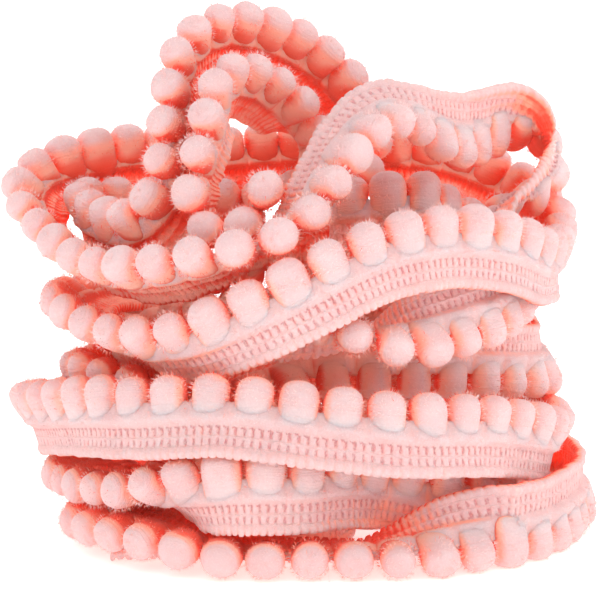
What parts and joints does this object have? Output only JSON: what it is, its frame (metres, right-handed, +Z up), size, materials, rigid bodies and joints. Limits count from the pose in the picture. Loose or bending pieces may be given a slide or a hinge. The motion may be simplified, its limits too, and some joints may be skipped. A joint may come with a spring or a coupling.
{
  "type": "roll of pompom trim",
  "caption": "Loose free-standing roll of pink pompom trim: knitted tape with a row of small yarn pompoms along one edge.",
  "frame": {"origin": "centre of the roll's base, on the surface it stands on", "axes": "+Z up, +X along the roll's width to the right, -Y toward the front"},
  "size_m": [0.1414, 0.1031, 0.1232],
  "materials": {
    "yarn": "matt"
  },
  "bodies": {
    "root": {"trim_01": "yarn", "trim_02": "yarn", "trim_03": "yarn", "trim_04": "yarn", "trim_05": "yarn", "trim_06": "yarn", "trim_07": "yarn", "trim_08": "yarn", "trim_09": "yarn", "trim_10": "yarn", "trim_11": "yarn", "trim_12": "yarn", "trim_13": "yarn", "trim_14": "yarn", "trim_15": "yarn", "trim_16": "yarn", "trim_17": "yarn", "trim_18": "yarn", "trim_19": "yarn", "trim_20": "yarn", "trim_21": "yarn", "trim_22": "yarn", "trim_23": "yarn", "trim_24": "yarn", "trim_25": "yarn", "trim_26": "yarn", "trim_27": "yarn", "trim_28": "yarn", "trim_29": "yarn", "trim_30": "yarn", "trim_31": "yarn", "trim_32": "yarn", "trim_33": "yarn", "trim_34": "yarn", "trim_35": "yarn", "trim_36": "yarn", "trim_37": "yarn", "trim_38": "yarn", "trim_39": "yarn", "trim_40": "yarn", "trim_41": "yarn", "trim_42": "yarn", "trim_43": "yarn", "trim_44": "yarn", "trim_45": "yarn", "trim_46": "yarn", "trim_47": "yarn", "trim_48": "yarn", "trim_49": "yarn", "trim_50": "yarn"}
  },
  "joints": []
}
